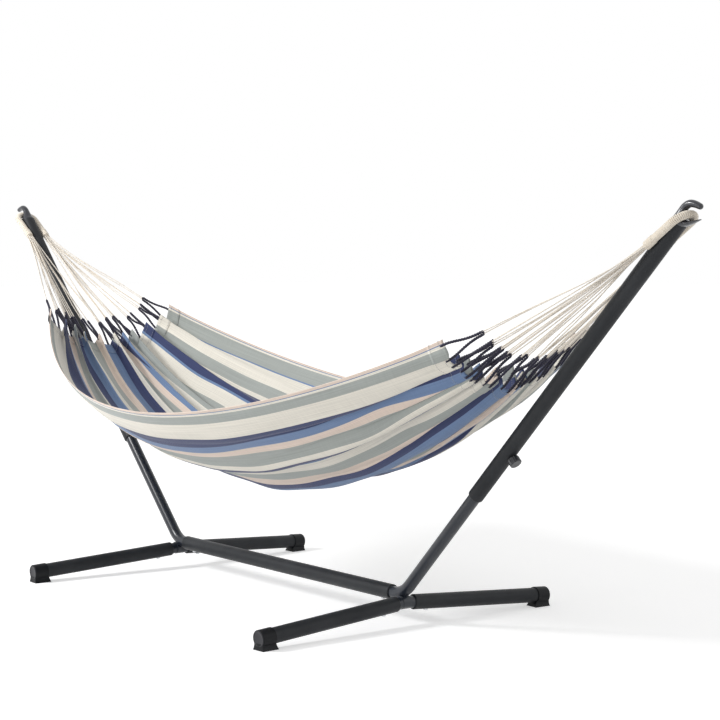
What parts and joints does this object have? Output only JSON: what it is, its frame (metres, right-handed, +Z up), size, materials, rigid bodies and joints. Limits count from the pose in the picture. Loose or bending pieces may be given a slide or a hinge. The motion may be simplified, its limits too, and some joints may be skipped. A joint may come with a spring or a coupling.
{
  "type": "hammock on stand",
  "caption": "Steel tube stand with telescoping arms and hooks, carrying a striped fabric hammock on cord harnesses and rope loops.",
  "frame": {"origin": "on the floor under the middle of the beam, at the centre of the outer box's bottom", "axes": "+Z up, +X along the hammock towards its right end, -Y the front"},
  "size_m": [3.7828, 1.24, 1.357],
  "materials": {
    "powder_coat": "fine matt powder coat, anthracite",
    "inner_tube_coat": "smooth satin coat, blue-black",
    "foot_plastic": "moulded, fine grain",
    "zinc": "bright zinc plate",
    "bush_plastic": "moulded",
    "hook_casting": "glossy casting, blue-black",
    "knob_plastic": "moulded, satin to glossy",
    "wrapped_rope": "cotton cord bundle wrapped in yarn",
    "cotton_cord": "twisted natural cotton",
    "whipping_cord": "navy braided cord",
    "striped_fabric": "woven stripes of cream, grey, navy and light blue",
    "label_fabric": "plain black woven label"
  },
  "bodies": {
    "base": {"base_beam": "powder_coat", "left_lower_arm": "inner_tube_coat", "right_lower_arm": "inner_tube_coat", "left_cross_stub": "inner_tube_coat", "right_cross_stub": "inner_tube_coat", "left_front_leg": "powder_coat", "left_rear_leg": "powder_coat", "right_front_leg": "powder_coat", "right_rear_leg": "powder_coat", "left_front_foot": "foot_plastic", "left_rear_foot": "foot_plastic", "right_front_foot": "foot_plastic", "right_rear_foot": "foot_plastic", "leg_screws": "zinc", "leg_nuts": "zinc", "beam_screws": "zinc", "beam_nuts": "zinc", "left_guide_bush": "bush_plastic", "right_guide_bush": "bush_plastic"},
    "left_arm": {"left_upper_arm": "powder_coat", "left_clamp_insert": "zinc", "left_hook": "hook_casting", "left_rope_loop": "wrapped_rope"},
    "right_arm": {"right_upper_arm": "powder_coat", "right_clamp_insert": "zinc", "right_hook": "hook_casting", "right_rope_loop": "wrapped_rope"},
    "left_knob": {"left_clamp_knob": "knob_plastic"},
    "right_knob": {"right_clamp_knob": "knob_plastic"},
    "hammock": {"left_cords": "cotton_cord", "right_cords": "cotton_cord", "left_whippings": "whipping_cord", "right_whippings": "whipping_cord", "hammock_bed": "striped_fabric", "edge_label": "label_fabric"}
  },
  "joints": [
    {"name": "left_arm_slide", "type": "slide", "parent": "base", "child": "left_arm", "axis": [-0.6921, 0, 0.7218], "range_m": [-0.25, 0], "deforming": ["hammock_bed", "left_cords", "right_cords", "left_whippings", "right_whippings", "edge_label"]},
    {"name": "right_arm_slide", "type": "slide", "parent": "base", "child": "right_arm", "axis": [0.6921, 0, 0.7218], "range_m": [-0.25, 0]},
    {"name": "left_knob_turn", "type": "hinge", "parent": "left_arm", "child": "left_knob", "pos_m": [-1.14396, 0, 0.60684], "axis": [-0.7218, 0, -0.6921], "range_deg": [-540, 0]},
    {"name": "right_knob_turn", "type": "hinge", "parent": "right_arm", "child": "right_knob", "pos_m": [1.14396, 0, 0.60684], "axis": [0.7218, 0, -0.6921], "range_deg": [-540, 0]},
    {"name": "hammock_swing", "type": "hinge", "parent": "left_arm", "child": "hammock", "pos_m": [0, 0, 1.23394], "axis": [1, 0, 0], "range_deg": [-10, 10]}
  ],
  "couplings": [
    {"joint": "right_arm_slide", "follows": "left_arm_slide", "ratio": 1}
  ]
}
